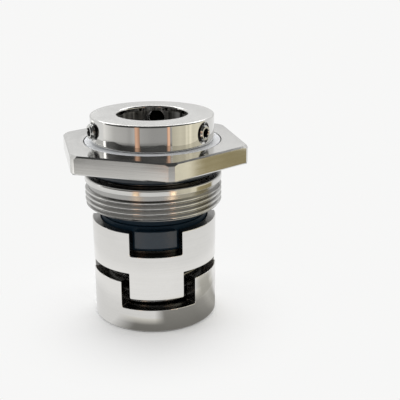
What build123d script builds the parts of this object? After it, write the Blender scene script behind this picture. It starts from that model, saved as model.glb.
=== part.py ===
from build123d import *
from math import radians, tan
import os

# Cartridge mechanical seal for a 22 mm pump shaft, in millimetres.
# Z is the shaft axis, and the seal stands on its foot at z = 0 with the clamp collar at the top.
# Three groups move against each other:
#   rotor: sleeve, collar, lower driver. It turns with the shaft.
#   head: upper driver and rotary ring. It turns with the rotor and floats along it on the spring.
#   gland: hexagon flange, seat ring and slip ring. It is screwed into the pump and stands still.

# ---- Driving dimensions -------------------------------------------------------------------

# The shaft and what is stacked on it
SHAFT_D = 22.0
SLEEVE_WALL = 2.2
SLEEVE_FOOT = 0.5           # the sleeve's end stands this far above the foot of the seal

# Heights of the stack, from the foot up
LOWER_DRIVER_H = 16.3
DRIVER_GAP = 3.1            # open between the two drivers at rest, and so the head's travel
UPPER_DRIVER_H = 13.2
FACE_ABOVE_DRIVER = 1.4     # the rotary ring's running face above the upper driver
SEAT_STAND_OUT = 3.1        # the seat ring below the gland
THREAD_LENGTH = 9.9
O_RING_GROOVE_W = 4.6
HEX_H = 5.7
COLLAR_GAP = 0.2            # the collar above the slip ring
COLLAR_H = 8.0

# Drivers: castellated steel rings of one diameter
DRIVER_D = 39.5
DRIVER_WALL = 4.0
UPPER_RIM_WALL = 2.5        # the upper driver is bored out here for the rotary ring
DRIVE_COUNT = 3
DRIVE_AZIMUTH = -89.0       # middle of the first tongue, and of the slot above it
UPPER_SLOT_ARC = 48.3
UPPER_SLOT_DEPTH = 7.5
TONGUE_ARC = 50.2
TONGUE_LENGTH = 8.4
LOWER_SLOT_ARC = 71.4
LOWER_SLOT_DEPTH = 8.7
LOWER_SLOT_LEAD = 2.0       # the tongues stand this far off the middle of the lower slots
SLOT_CORNER_R = 0.7
TONGUE_CORNER_R = 0.5
WEB_T = 2.5                 # inner shelf of the upper driver
LOWER_FLOOR_T = 2.9
CLIP_ROOM = 1.4             # recess in the foot beyond the clip's wire
FOOT_CHAMFER = 0.5
DRIVER_EDGE = 0.15

# Rotary ring and seat ring, silicon carbide
ROTARY_CLEARANCE = 0.45     # ring to the upper driver's rim
RING_CLEARANCE = 0.4        # ring bores to the sleeve
LUG_ARC = 40.4
LUG_H = 5.5
LUG_BELOW_FACE = 1.0
LUG_SET_BACK = 1.05         # lug below the driver's outer surface
LUG_EDGE = 0.25
FACE_EDGE_R = 0.4
THRUST_RING_T = 1.0
SEAT_CLEARANCE = 0.9        # seat ring's flange inside the pocket's size
SEAT_FLANGE_T = 4.1
SEAT_NECK_WALL = 1.3
SEAT_NECK_H = 4.1

# O-rings: section diameters as squeezed in place
SHAFT_O_RING_W = 1.3
SHAFT_O_RING_Z = 7.6
SHAFT_GROOVE_W = 1.9
ROTARY_O_RING_W = 2.2
ROTARY_GROOVE_H = 3.0
SEAT_O_RING_W = 2.3
GLAND_O_RING_W = 4.0
O_RING_SET = 0.03           # shaft O-ring below the bore's surface
SLIDING_CLEARANCE = 0.08    # rotary O-ring and slip ring to the sleeve
PACKED = 0.02               # O-ring to the wall that backs it

# Gland
THREAD_D = 43.28
THREAD_CHAMFER = 0.9
THREAD_DEPTH = 0.95
THREAD_PITCH = 1.65
THREAD_ROOT = 0.24          # flat in the bottom of the thread's groove
THREAD_LEAD_IN = 0.75       # turns by which the cutter starts below the gland's end
THREAD_RELIEF_DEPTH = 1.0
THREAD_OVER = 0.1           # cutter past the thread's crests
THREAD_LAND = 1.9           # plain land between the O-ring groove and the thread's relief
THREAD_RELIEF_W = 1.9
LAND_EDGE = 0.3
O_RING_GROOVE_D = 35.0
HEX_AF = 53.48
HEX_TURNED_D = 60.72        # the hexagon's corners are turned off to this diameter
HEX_CORNER_CHAMFER = 0.85
HEX_EDGE = 0.3
HEX_AZIMUTH = -110.3        # one flat faces this way
SEAT_RELIEF_D = 44.0        # relief round the O-ring in the hexagon's underside
SEAT_RELIEF = 0.4
GLAND_WEB_T = 3.8           # inner shelf above the seat's pocket

# Slip ring, white plastic
SLIP_RING_D = 42.4
SLIP_RING_CLEARANCE = 0.3
SLIP_FLANGE_T = 1.8
SLIP_BUSH_WALL = 1.0

# Clamp collar and its set screws
COLLAR_D = 38.5
COLLAR_EDGE_R = 0.6
COLLAR_FOOT_EDGE = 0.25
COLLAR_LIP_T = 1.5          # lip over the sleeve's end, bored for the shaft
BORE_EDGE = 0.4
SCREW_D = 5.0
SCREW_L = 8.0
SCREW_ABOVE_COLLAR_FOOT = 4.0
SCREW_CLEARANCE = 0.05
SCREW_HOLE_SINK = 0.95      # countersink of the tapped holes
SLEEVE_HOLE_D = 5.4
SOCKET_AF = 2.5
SOCKET_DEPTH = 2.6
CUP_D = 2.6
SCREW_END_CHAMFER = 0.45
SCREW_AZIMUTH = -157.0      # the first screw; the others follow at even angles
SCREW_1_PROUD = 1.5         # each screw's end above the collar's surface
SCREW_2_PROUD = 0.7
SCREW_3_PROUD = 0.9

# Spring and clip
SPRING_WIRE = 1.8
SPRING_TURNS = 4.5
CLIP_WIRE = 1.2
CLIP_Z = 1.5
CLIP_OPENING = 20.0

# ---- Sizes that follow --------------------------------------------------------------------

shaft_r = SHAFT_D / 2
sleeve_r = shaft_r + SLEEVE_WALL
driver_r = DRIVER_D / 2
driver_bore_r = driver_r - DRIVER_WALL
rim_bore_r = driver_r - UPPER_RIM_WALL
ring_bore_r = sleeve_r + RING_CLEARANCE
slide_r = sleeve_r + SLIDING_CLEARANCE
spring_r = (sleeve_r + driver_bore_r) / 2
slip_r = SLIP_RING_D / 2
slip_recess_r = slip_r + SLIP_RING_CLEARANCE
thread_r = THREAD_D / 2
collar_r = COLLAR_D / 2
screw_r = SCREW_D / 2

upper_z = LOWER_DRIVER_H + DRIVER_GAP
upper_top_z = upper_z + UPPER_DRIVER_H
face_z = upper_top_z + FACE_ABOVE_DRIVER
gland_z = face_z + SEAT_STAND_OUT
groove_z = gland_z + THREAD_LENGTH
hex_z = groove_z + O_RING_GROOVE_W
hex_top_z = hex_z + HEX_H
collar_z = hex_top_z + COLLAR_GAP
top_z = collar_z + COLLAR_H
sleeve_top_z = top_z - COLLAR_LIP_T
screw_z = collar_z + SCREW_ABOVE_COLLAR_FOOT
upper_slot_z = upper_top_z - UPPER_SLOT_DEPTH
lower_slot_z = LOWER_DRIVER_H - LOWER_SLOT_DEPTH
floor_z = CLIP_Z + CLIP_WIRE / 2
floor_top_z = floor_z + LOWER_FLOOR_T
web_z = upper_slot_z - WEB_T
rotary_z = upper_slot_z + THRUST_RING_T
pocket_top_z = face_z + SEAT_FLANGE_T + SEAT_NECK_H

seat_neck_r = ring_bore_r + SEAT_NECK_WALL
pocket_r = seat_neck_r + SEAT_O_RING_W
seat_r = pocket_r - SEAT_CLEARANCE
clip_recess_r = sleeve_r + CLIP_WIRE / 2 + CLIP_ROOM

drive_azimuths = [DRIVE_AZIMUTH + i * 360 / DRIVE_COUNT for i in range(DRIVE_COUNT)]
screws = {                  # azimuth and stand-out of each set screw
    "set_screw_1": (SCREW_AZIMUTH, SCREW_1_PROUD),
    "set_screw_2": (SCREW_AZIMUTH + 120, SCREW_2_PROUD),
    "set_screw_3": (SCREW_AZIMUTH + 240, SCREW_3_PROUD),
}

CUT_PAST = 1.0              # cutters run this far past the surface that they open
TOUCH = 1e-4                # two sizes closer than this are the same


# ---- Shapes that several pieces use -------------------------------------------------------

def turned(*corners):
    """A lathe-turned solid: the outline through (radius, height) corners, carried round Z."""
    return revolve(Plane.XZ * make_face(Polyline(*corners, close=True)), Axis.Z)


def tube(inner, outer, low, high):
    """A plain ring between two radii and two heights."""
    return turned((inner, low), (outer, low), (outer, high), (inner, high))


def o_ring(middle_r, wire, z):
    """A round-section ring."""
    return Pos(0, 0, z) * Torus(middle_r, wire / 2)


def rims(solid, radius, z):
    """The round edges of a solid at one radius and one height."""
    rounds = solid.edges().filter_by(GeomType.CIRCLE)
    return rounds.filter_by(lambda e: abs(e.radius - radius) < TOUCH and abs(e.arc_center.Z - z) < TOUCH)


def sector(inner, outer, arc, low, high, azimuth, corner_r):
    """A piece of a ring, arc degrees long, its two lower corners rounded as by an end mill."""
    start = azimuth - arc / 2
    outside = CenterArc((0, 0), outer, start, arc)
    inside = CenterArc((0, 0), inner, start, arc)
    outline = make_face([outside, Line(outside @ 1, inside @ 1), inside, Line(inside @ 0, outside @ 0)])
    block = Pos(0, 0, low) * extrude(outline, high - low)
    corners = block.faces().sort_by(Axis.Z)[0].edges().filter_by(GeomType.LINE)
    return fillet(corners, corner_r)


def radial(azimuth, start, end):
    """Place a Z-centred piece so that it lies on a set screw's axis between two radii."""
    return Rot(0, 0, azimuth) * Pos((start + end) / 2, 0, screw_z) * Rot(0, 90, 0)


def radial_hole(azimuth, start, end, hole_r):
    """Cutter for a round hole on a set screw's axis, through the wall between two radii."""
    drill = Cylinder(hole_r, end - start + 2 * CUT_PAST)
    return radial(azimuth, start - CUT_PAST, end + CUT_PAST) * drill


# ---- Rotor --------------------------------------------------------------------------------

def shaft_sleeve():
    """Tube from foot to collar, grooved inside for its O-ring and outside for the clip."""
    body = tube(shaft_r, sleeve_r, SLEEVE_FOOT, sleeve_top_z)
    body = chamfer(rims(body, shaft_r, SLEEVE_FOOT), BORE_EDGE)
    groove_r = shaft_r + O_RING_SET + SHAFT_O_RING_W + PACKED
    groove_z = SHAFT_O_RING_Z - SHAFT_GROOVE_W / 2
    body -= tube(shaft_r - CUT_PAST, groove_r, groove_z, groove_z + SHAFT_GROOVE_W)
    body -= tube(sleeve_r - CLIP_WIRE / 2, sleeve_r + CUT_PAST, CLIP_Z - CLIP_WIRE / 2, floor_z)
    for azimuth, _ in screws.values():
        body -= radial_hole(azimuth, shaft_r, sleeve_r, SLEEVE_HOLE_D / 2)
    return body


def shaft_o_ring():
    """O-ring in the sleeve's bore, squeezed to the shaft's size."""
    return o_ring(shaft_r + O_RING_SET + SHAFT_O_RING_W / 2, SHAFT_O_RING_W, SHAFT_O_RING_Z)


def sleeve_clip():
    """Open wire ring in the sleeve's foot groove, under the lower driver's floor."""
    section = Plane.XZ * Pos(sleeve_r, CLIP_Z) * Circle(CLIP_WIRE / 2)
    return Rot(0, 0, CLIP_OPENING / 2) * revolve(section, Axis.Z, 360 - CLIP_OPENING)


def lower_driver():
    """Turned cup pressed on the sleeve, with slots for the upper driver's tongues."""
    body = turned((clip_recess_r, 0), (driver_r, 0), (driver_r, LOWER_DRIVER_H),
                  (driver_bore_r, LOWER_DRIVER_H), (driver_bore_r, floor_top_z), (sleeve_r, floor_top_z),
                  (sleeve_r, floor_z), (clip_recess_r, floor_z))
    body = chamfer(rims(body, driver_r, 0), FOOT_CHAMFER)
    top_rims = rims(body, driver_r, LOWER_DRIVER_H) + rims(body, driver_bore_r, LOWER_DRIVER_H)
    body = chamfer(top_rims, DRIVER_EDGE)
    for azimuth in drive_azimuths:
        body -= sector(driver_bore_r - CUT_PAST, driver_r + CUT_PAST, LOWER_SLOT_ARC, lower_slot_z,
                       LOWER_DRIVER_H + CUT_PAST, azimuth + LOWER_SLOT_LEAD, SLOT_CORNER_R)
    return body


def clamp_collar():
    """Collar over the sleeve's end, with a bored lip and three tapped radial holes."""
    body = turned((sleeve_r, collar_z), (collar_r, collar_z), (collar_r, top_z), (shaft_r, top_z),
                  (shaft_r, sleeve_top_z), (sleeve_r, sleeve_top_z))
    body = fillet(rims(body, collar_r, top_z), COLLAR_EDGE_R)
    body = chamfer(rims(body, collar_r, collar_z), COLLAR_FOOT_EDGE)
    body = chamfer(rims(body, shaft_r, top_z), BORE_EDGE)
    hole_r = screw_r + SCREW_CLEARANCE
    for azimuth, _ in screws.values():
        body -= radial_hole(azimuth, sleeve_r, collar_r, hole_r)
        sink = radial(azimuth, collar_r - SCREW_HOLE_SINK, collar_r + SCREW_HOLE_SINK)
        body -= sink * Cone(hole_r, hole_r + 2 * SCREW_HOLE_SINK, 2 * SCREW_HOLE_SINK)
    return body


def set_screw(azimuth, proud):
    """Socket set screw with a cup point, lying on its own axis in the collar."""
    screw = Cylinder(screw_r, SCREW_L)
    screw = chamfer(rims(screw, screw_r, SCREW_L / 2), SCREW_END_CHAMFER)
    screw = chamfer(rims(screw, screw_r, -SCREW_L / 2), (SCREW_D - CUP_D) / 3)
    socket = extrude(RegularPolygon(SOCKET_AF / 2, 6, major_radius=False), SOCKET_DEPTH)
    screw -= Pos(0, 0, SCREW_L / 2 - SOCKET_DEPTH) * socket
    screw -= Pos(0, 0, -SCREW_L / 2 + CUP_D / 4) * Cone(CUP_D / 2, 0, CUP_D / 2)
    outer_end = collar_r + proud
    return radial(azimuth, outer_end - SCREW_L, outer_end) * screw


def spring():
    """Single coil spring between the lower driver's floor and the upper driver's shelf."""
    rise = web_z - floor_top_z - SPRING_WIRE
    path = Helix(rise / SPRING_TURNS, rise, spring_r)
    section = Plane(origin=path @ 0, z_dir=path % 0) * Circle(SPRING_WIRE / 2)
    return Pos(0, 0, floor_top_z + SPRING_WIRE / 2) * sweep(section, path=path, is_frenet=True)


# ---- Head ---------------------------------------------------------------------------------

def upper_driver():
    """Ring with slots for the rotary ring's lugs, tongues below and a shelf inside."""
    body = turned((driver_bore_r, upper_z), (driver_r, upper_z), (driver_r, upper_top_z),
                  (rim_bore_r, upper_top_z), (rim_bore_r, upper_slot_z), (ring_bore_r, upper_slot_z),
                  (ring_bore_r, web_z), (driver_bore_r, web_z))
    body = chamfer(rims(body, driver_r, upper_top_z) + rims(body, driver_r, upper_z), DRIVER_EDGE)
    for azimuth in drive_azimuths:
        body -= sector(rim_bore_r - CUT_PAST, driver_r + CUT_PAST, UPPER_SLOT_ARC, upper_slot_z,
                       upper_top_z + CUT_PAST, azimuth, SLOT_CORNER_R)
        body += sector(driver_bore_r, driver_r, TONGUE_ARC, upper_z - TONGUE_LENGTH, web_z,
                       azimuth, TONGUE_CORNER_R)
    return body


def thrust_ring():
    """Flat ring on the shelf, under the rotary ring and its O-ring."""
    return tube(ring_bore_r, rim_bore_r - ROTARY_CLEARANCE, upper_slot_z, rotary_z)


def rotary_ring():
    """Silicon carbide ring with a running face on top and three driving lugs."""
    body_r = rim_bore_r - ROTARY_CLEARANCE
    groove_r = slide_r + ROTARY_O_RING_W + PACKED
    groove_top = rotary_z + ROTARY_GROOVE_H
    body = turned((groove_r, rotary_z), (body_r, rotary_z), (body_r, face_z), (ring_bore_r, face_z),
                  (ring_bore_r, groove_top), (groove_r, groove_top))
    body = fillet(rims(body, body_r, face_z), FACE_EDGE_R)
    lug_r = driver_r - LUG_SET_BACK
    lug_top = face_z - LUG_BELOW_FACE
    for azimuth in drive_azimuths:
        lug = sector((groove_r + body_r) / 2, lug_r, LUG_ARC, lug_top - LUG_H, lug_top, azimuth, LUG_EDGE)
        body += chamfer(rims(lug, lug_r, lug_top), LUG_EDGE)
    return body


def rotary_o_ring():
    """O-ring that seals the rotary ring to the sleeve and slides on it."""
    return o_ring(slide_r + ROTARY_O_RING_W / 2, ROTARY_O_RING_W, rotary_z + ROTARY_GROOVE_H / 2)


# ---- Gland --------------------------------------------------------------------------------

def thread_cutter(z, height):
    """A 60-degree groove wound up round the gland's stem, from height z."""
    path = Helix(THREAD_PITCH, height, thread_r)
    start = path @ 0
    half_root = THREAD_ROOT / 2
    half_mouth = half_root + (THREAD_DEPTH + THREAD_OVER) * tan(radians(30))
    profile = Polyline((-THREAD_DEPTH, -half_root), (THREAD_OVER, -half_mouth), (THREAD_OVER, half_mouth),
                       (-THREAD_DEPTH, half_root), close=True)
    section = Plane(origin=start, x_dir=(start.X, start.Y, 0), z_dir=path % 0) * make_face(profile)
    return Pos(0, 0, z) * sweep(section, path=path, is_frenet=True)


def gland():
    """Hexagon flange, O-ring groove and threaded body, turned from one bar."""
    bush_r = slide_r + SLIP_BUSH_WALL
    web_top = pocket_top_z + GLAND_WEB_T
    blank = extrude(Pos(0, 0, hex_z) * RegularPolygon(HEX_AF / 2, 6, major_radius=False, rotation=30), HEX_H)
    blank = chamfer(blank.edges().group_by(Axis.Z)[-1] + blank.edges().group_by(Axis.Z)[0], HEX_EDGE)
    turned_off = tube(0, HEX_TURNED_D / 2, hex_z, hex_top_z)
    turned_off = chamfer(rims(turned_off, HEX_TURNED_D / 2, hex_top_z), HEX_CORNER_CHAMFER)
    flange = Rot(0, 0, HEX_AZIMUTH) * (blank & turned_off)
    relief_top = groove_z - THREAD_LAND
    relief_z = relief_top - THREAD_RELIEF_W
    cutter_z = gland_z - THREAD_LEAD_IN * THREAD_PITCH
    stem = tube(0, thread_r, gland_z, groove_z)
    stem = chamfer(rims(stem, thread_r, groove_z), LAND_EDGE)
    stem -= thread_cutter(cutter_z, relief_z + THREAD_RELIEF_W / 2 - cutter_z)
    stem -= tube(thread_r - THREAD_RELIEF_DEPTH, thread_r + CUT_PAST, relief_z, relief_top)
    stem -= turned((thread_r - THREAD_CHAMFER - CUT_PAST, gland_z - CUT_PAST), (thread_r + CUT_PAST, gland_z - CUT_PAST),
                   (thread_r + CUT_PAST, gland_z + THREAD_CHAMFER + CUT_PAST))
    stem += tube(0, O_RING_GROOVE_D / 2, groove_z, hex_top_z)
    body = flange - tube(0, SEAT_RELIEF_D / 2, hex_z - CUT_PAST, hex_z + SEAT_RELIEF) + stem
    slip_z = hex_top_z - SLIP_FLANGE_T
    below = gland_z - CUT_PAST
    above = hex_top_z + CUT_PAST
    return body - turned((0, below), (pocket_r, below), (pocket_r, pocket_top_z), (ring_bore_r, pocket_top_z),
                         (ring_bore_r, web_top), (bush_r, web_top), (bush_r, slip_z),
                         (slip_recess_r, slip_z), (slip_recess_r, above), (0, above))


def gland_o_ring():
    """O-ring in the groove between hexagon and thread, up against the hexagon."""
    z = hex_z + SEAT_RELIEF - GLAND_O_RING_W / 2
    return o_ring((O_RING_GROOVE_D + GLAND_O_RING_W) / 2, GLAND_O_RING_W, z)


def slip_ring():
    """White plastic flanged bush that keeps the gland centred on the sleeve."""
    slip_z = hex_top_z - SLIP_FLANGE_T
    bush_r = slide_r + SLIP_BUSH_WALL
    bush_z = pocket_top_z + GLAND_WEB_T
    return turned((slide_r, bush_z), (bush_r, bush_z), (bush_r, slip_z), (slip_r, slip_z),
                  (slip_r, hex_top_z), (slide_r, hex_top_z))


def seat_ring():
    """Stationary silicon carbide ring, its neck held in the gland's pocket by an O-ring."""
    neck_z = face_z + SEAT_FLANGE_T
    return turned((ring_bore_r, face_z), (seat_r, face_z), (seat_r, neck_z), (seat_neck_r, neck_z),
                  (seat_neck_r, pocket_top_z), (ring_bore_r, pocket_top_z))


def seat_o_ring():
    """O-ring between the seat ring's neck and the gland's pocket."""
    return o_ring(seat_neck_r + SEAT_O_RING_W / 2, SEAT_O_RING_W, pocket_top_z - SEAT_NECK_H / 2)


# ---- Files --------------------------------------------------------------------------------

pieces = {
    "shaft_sleeve": shaft_sleeve(),
    "shaft_o_ring": shaft_o_ring(),
    "sleeve_clip": sleeve_clip(),
    "lower_driver": lower_driver(),
    "spring": spring(),
    "upper_driver": upper_driver(),
    "thrust_ring": thrust_ring(),
    "rotary_o_ring": rotary_o_ring(),
    "rotary_ring": rotary_ring(),
    "seat_ring": seat_ring(),
    "seat_o_ring": seat_o_ring(),
    "gland": gland(),
    "gland_o_ring": gland_o_ring(),
    "slip_ring": slip_ring(),
    "clamp_collar": clamp_collar(),
}
for name, (azimuth, proud) in screws.items():
    pieces[name] = set_screw(azimuth, proud)

os.makedirs("parts", exist_ok=True)
for name, piece in pieces.items():
    export_step(piece, f"parts/{name}.step")
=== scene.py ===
import math

import bpy
import numpy as np
from mathutils import Matrix, Vector


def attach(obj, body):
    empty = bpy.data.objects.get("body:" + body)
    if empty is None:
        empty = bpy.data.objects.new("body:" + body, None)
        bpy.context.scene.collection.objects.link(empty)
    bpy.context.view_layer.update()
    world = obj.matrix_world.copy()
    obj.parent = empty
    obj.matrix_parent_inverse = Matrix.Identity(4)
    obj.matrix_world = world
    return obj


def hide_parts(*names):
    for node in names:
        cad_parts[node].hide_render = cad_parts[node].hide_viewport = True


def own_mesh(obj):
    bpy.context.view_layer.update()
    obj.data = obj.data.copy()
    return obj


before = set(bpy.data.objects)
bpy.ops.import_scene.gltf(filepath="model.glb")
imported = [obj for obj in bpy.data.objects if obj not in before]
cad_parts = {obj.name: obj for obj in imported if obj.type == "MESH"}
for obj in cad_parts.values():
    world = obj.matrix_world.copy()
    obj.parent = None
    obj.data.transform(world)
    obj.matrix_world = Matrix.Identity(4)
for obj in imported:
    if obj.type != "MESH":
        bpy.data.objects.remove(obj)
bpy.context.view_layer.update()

# ---- Studio -------------------------------------------------------------------------------
# The seal stands on its foot on a white sweep, under one large soft box and two smaller ones. Dark
# and coloured boards stand out of sight round it, because polished steel shows only what is near it.
# They glow with their own light and only the steel sees them: painted reflections, and painted shade
# where they are dim.

MM = 0.001
CAMERA_DISTANCE = 234.9 * MM
CAMERA_HEIGHT = 114.2 * MM
CAMERA_PAN = 0.063
CAMERA_TILT = 0.318
CAMERA_ROLL = -0.002
FOCAL_LENGTH = 69.22
SENSOR_WIDTH = 36
NEAREST = 0.01              # the camera sees nothing nearer than this, in metres
FRONT = math.radians(-90)   # direction of the camera, as an angle about Z

scene = bpy.context.scene
scene.view_settings.view_transform = "Standard"

lens = bpy.data.cameras.new("camera")
lens.sensor_width = SENSOR_WIDTH
lens.lens = FOCAL_LENGTH
lens.clip_start = NEAREST
camera = bpy.data.objects.new("camera", lens)
camera.location = (0, -CAMERA_DISTANCE, CAMERA_HEIGHT)
ahead = Vector((math.sin(CAMERA_PAN) * math.cos(CAMERA_TILT),
                math.cos(CAMERA_PAN) * math.cos(CAMERA_TILT), -math.sin(CAMERA_TILT)))
roll = Matrix.Rotation(CAMERA_ROLL, 3, "Z").to_quaternion()
camera.rotation_mode = "QUATERNION"
camera.rotation_quaternion = ahead.to_track_quat("-Z", "Y") @ roll
scene.collection.objects.link(camera)
scene.camera = camera


def add_node(tree, kind, inputs=(), **settings):
    """A shader node of a kind. Its settings are given by name, and its inputs as {name or place: value},
    where a value that is another node's output is linked to it."""
    node = tree.nodes.new("ShaderNode" + kind)
    for name, value in settings.items():
        setattr(node, name, value)
    for key, value in dict(inputs).items():
        if isinstance(value, bpy.types.NodeSocket):
            tree.links.new(value, node.inputs[key])
        else:
            node.inputs[key].default_value = value
    return node


def maths(tree, operation, *values):
    """One step of arithmetic on up to two numbers."""
    return add_node(tree, "Math", dict(enumerate(values)), operation=operation).outputs[0]


def new_material(name):
    """A material, its node tree and its Principled shader."""
    material = bpy.data.materials.new(name)
    material.use_nodes = True
    return material, material.node_tree, material.node_tree.nodes["Principled BSDF"]


def either_shader(tree, share, first, second):
    """The first shader where share is 0 and the second where it is 1."""
    return add_node(tree, "MixShader", {0: share, 1: first, 2: second}).outputs["Shader"]


def sight_rays(tree):
    """1 for rays from the camera and for those that a gloss or clear surface sends on, 0 for the rest."""
    path = add_node(tree, "LightPath").outputs
    either = maths(tree, "MAXIMUM", path["Is Camera Ray"], path["Is Glossy Ray"])
    return maths(tree, "MAXIMUM", either, path["Is Transmission Ray"])


def flat_piece(name, points, faces, material):
    """A new object at the origin from points and faces, staged as part of the studio."""
    mesh = bpy.data.meshes.new(name)
    mesh.from_pydata([tuple(map(float, point)) for point in points], [], faces)
    mesh.materials.append(material)
    obj = bpy.data.objects.new(name, mesh)
    scene.collection.objects.link(obj)
    return obj


# The sweep is painted paper near the seal, where it takes the shadow. Further out it is plain white
# to the eye, as the backdrop is, so that no horizon shows. From below it is clear.
FLOOR = 3.0
SHADOW_REACH = (0.004, 0.055)
PALE = (0.93, 0.93, 0.925, 1)
sweep, tree, shader = new_material("white_sweep")
shader.inputs["Base Color"].default_value = PALE
shader.inputs["Roughness"].default_value = 0.7
place = add_node(tree, "TexCoord").outputs["Object"]
reach = add_node(tree, "VectorMath", {0: place}, operation="LENGTH").outputs["Value"]
far = add_node(tree, "MapRange", {"Value": reach, "From Min": SHADOW_REACH[0], "From Max": SHADOW_REACH[1]},
               interpolation_type="SMOOTHSTEP").outputs["Result"]
white = add_node(tree, "Emission", {"Color": PALE, "Strength": 1.0}).outputs["Emission"]
clear = add_node(tree, "BsdfTransparent").outputs["BSDF"]
back = add_node(tree, "NewGeometry").outputs["Backfacing"]
paper = either_shader(tree, maths(tree, "MULTIPLY", far, sight_rays(tree)), shader.outputs["BSDF"], white)
tree.links.new(either_shader(tree, back, paper, clear), tree.nodes["Material Output"].inputs["Surface"])
corners = [(-FLOOR, -FLOOR, 0), (FLOOR, -FLOOR, 0), (FLOOR, FLOOR, 0), (-FLOOR, FLOOR, 0)]
flat_piece("sweep", corners, [(0, 1, 2, 3)], sweep)

FILL_LIGHT = 0.5
world = bpy.data.worlds.new("studio")
scene.world = world
world.use_nodes = True
tree = world.node_tree
fill = tree.nodes["Background"]
fill.inputs["Color"].default_value = (1, 1, 1, 1)
fill.inputs["Strength"].default_value = FILL_LIGHT
backdrop = add_node(tree, "Background", {"Color": PALE, "Strength": 1.0}).outputs["Background"]
sky = either_shader(tree, sight_rays(tree), fill.outputs["Background"], backdrop)
tree.links.new(sky, tree.nodes["World Output"].inputs["Surface"])


def softbox(name, place, width, height, watts, aim=(0, 0, 0.03)):
    """A soft area lamp that hangs at place and points at aim. The camera doesn't see it."""
    light = bpy.data.lights.new(name, "AREA")
    light.shape = "RECTANGLE"
    light.size = width
    light.size_y = height
    light.energy = watts
    obj = bpy.data.objects.new(name, light)
    obj.location = place
    obj.rotation_mode = "QUATERNION"
    obj.rotation_quaternion = (Vector(aim) - Vector(place)).to_track_quat("-Z", "Y")
    obj.visible_camera = False
    scene.collection.objects.link(obj)


softbox("back_softbox", (0, 0.60, 0.62), width=1.0, height=0.6, watts=5.0)
softbox("left_softbox", (-0.75, -0.05, 0.40), width=0.4, height=0.5, watts=1.5)
softbox("right_softbox", (0.75, 0.10, 0.40), width=0.3, height=0.5, watts=0.9)


def board(name, rows, sides, tint=(1, 1, 1), fade=0.0, steps=48):
    """A board bent round Z that glows with its own light and which only gloss surfaces see: a painted
    reflection, which is painted shade where it is dim. It takes no light from the seal and throws no
    shadow. A row is (radius, height, brightness) in millimetres. sides gives, from its left end to its
    right, angles to the right of the camera's own direction and how bright it is there. Over the fade,
    in degrees, its two ends grow clear."""
    radius, height, glow = np.array(rows, float).T[:, :, None]
    turns, levels = np.array(sides, float).T
    across = np.linspace(turns[0], turns[-1], steps + 1)
    angle = FRONT + np.radians(across)
    points = np.stack([radius * np.cos(angle), radius * np.sin(angle), height + 0 * angle], -1) * MM
    glow = glow * np.interp(across, turns, levels)
    inset = np.minimum(across - turns[0], turns[-1] - across)
    solid = np.clip(inset / max(fade, 0.01), 0, 1) + 0 * glow
    index = np.arange(glow.size).reshape(glow.shape)
    faces = np.stack([index[:-1, :-1], index[:-1, 1:], index[1:, 1:], index[1:, :-1]], -1).reshape(-1, 4)
    material, tree, _ = new_material(name)
    shade = add_node(tree, "Attribute", attribute_name="shade").outputs
    light = add_node(tree, "Emission", {"Color": shade["Color"], "Strength": 1.0}).outputs["Emission"]
    clear = add_node(tree, "BsdfTransparent").outputs["BSDF"]
    surface = either_shader(tree, shade["Alpha"], clear, light)
    tree.links.new(surface, tree.nodes["Material Output"].inputs["Surface"])
    obj = flat_piece(name, points.reshape(-1, 3), faces.tolist(), material)
    colours = np.append(glow[..., None] * np.array(tint), solid[..., None], -1)
    obj.data.attributes.new("shade", "FLOAT_COLOR", "POINT").data.foreach_set("color", colours.reshape(-1))
    obj.visible_camera = obj.visible_diffuse = obj.visible_shadow = False
    obj.visible_transmission = obj.visible_volume_scatter = False


def level(height, *rows):
    """The rows of a board that lies level at a height, each row given as (radius, brightness)."""
    return [(radius, height, glow) for radius, glow in rows]


def upright(radius, *rows):
    """The rows of a board that stands at a radius, each row given as (height, brightness)."""
    return [(radius, height, glow) for height, glow in rows]


DOME_R = 800
DOME_GLOW = 0.07
WALL_R = 700                # the room's dark wall and the grey backdrop
POST_R = 150
FOOT_R = 110
TABLE_EDGE_R = 19.9         # the table's boards begin at the drivers' outside
CREAM = (0.80, 0.75, 0.60)
OLIVE = (0.40, 0.34, 0.19)
COPPER = (0.95, 0.58, 0.40)
PALE_COPPER = (1.0, 0.74, 0.50)
WARM = (1.0, 0.98, 0.92)
dome = [(DOME_R * math.cos(rise), DOME_R * math.sin(rise), DOME_GLOW)
        for rise in np.radians(np.linspace(24, 89.9, 12))]
board("dark_ceiling", dome, [(-112, 1), (112, 1)], fade=6)
board("dark_ceiling_back", [(radius, height, 1) for radius, height, _ in dome[5:]],
      [(112, 0.12), (248, 0.12)])
board("dark_room", upright(WALL_R, (0, 0.12), (320, 0.12)), [(-96, 1.3), (-60, 0.5), (0, 1), (34, 1)], fade=3)
board("grey_backdrop",
      upright(WALL_R, (0, 0.80), (212, 0.76), (231, 0.60), (241, 1.0), (290, 1.0)) + [(640, 460, 0.70)],
      [(100, 1.1), (180, 1), (260, 1.1)], fade=8)
# The floor round the foot as the steel sees it, lit brighter than the sweep is there: painted light.
board("near_floor_painted_light",
      level(0.3, (TABLE_EDGE_R, 0.80), (34, 0.82), (43, 0.95), (62, 0.97), (72, 0.88), (112, 0.86),
            (130, 0.92), (170, 0.95)),
      [(-175, 1), (0, 1), (60, 0.97), (175, 1)])
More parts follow.
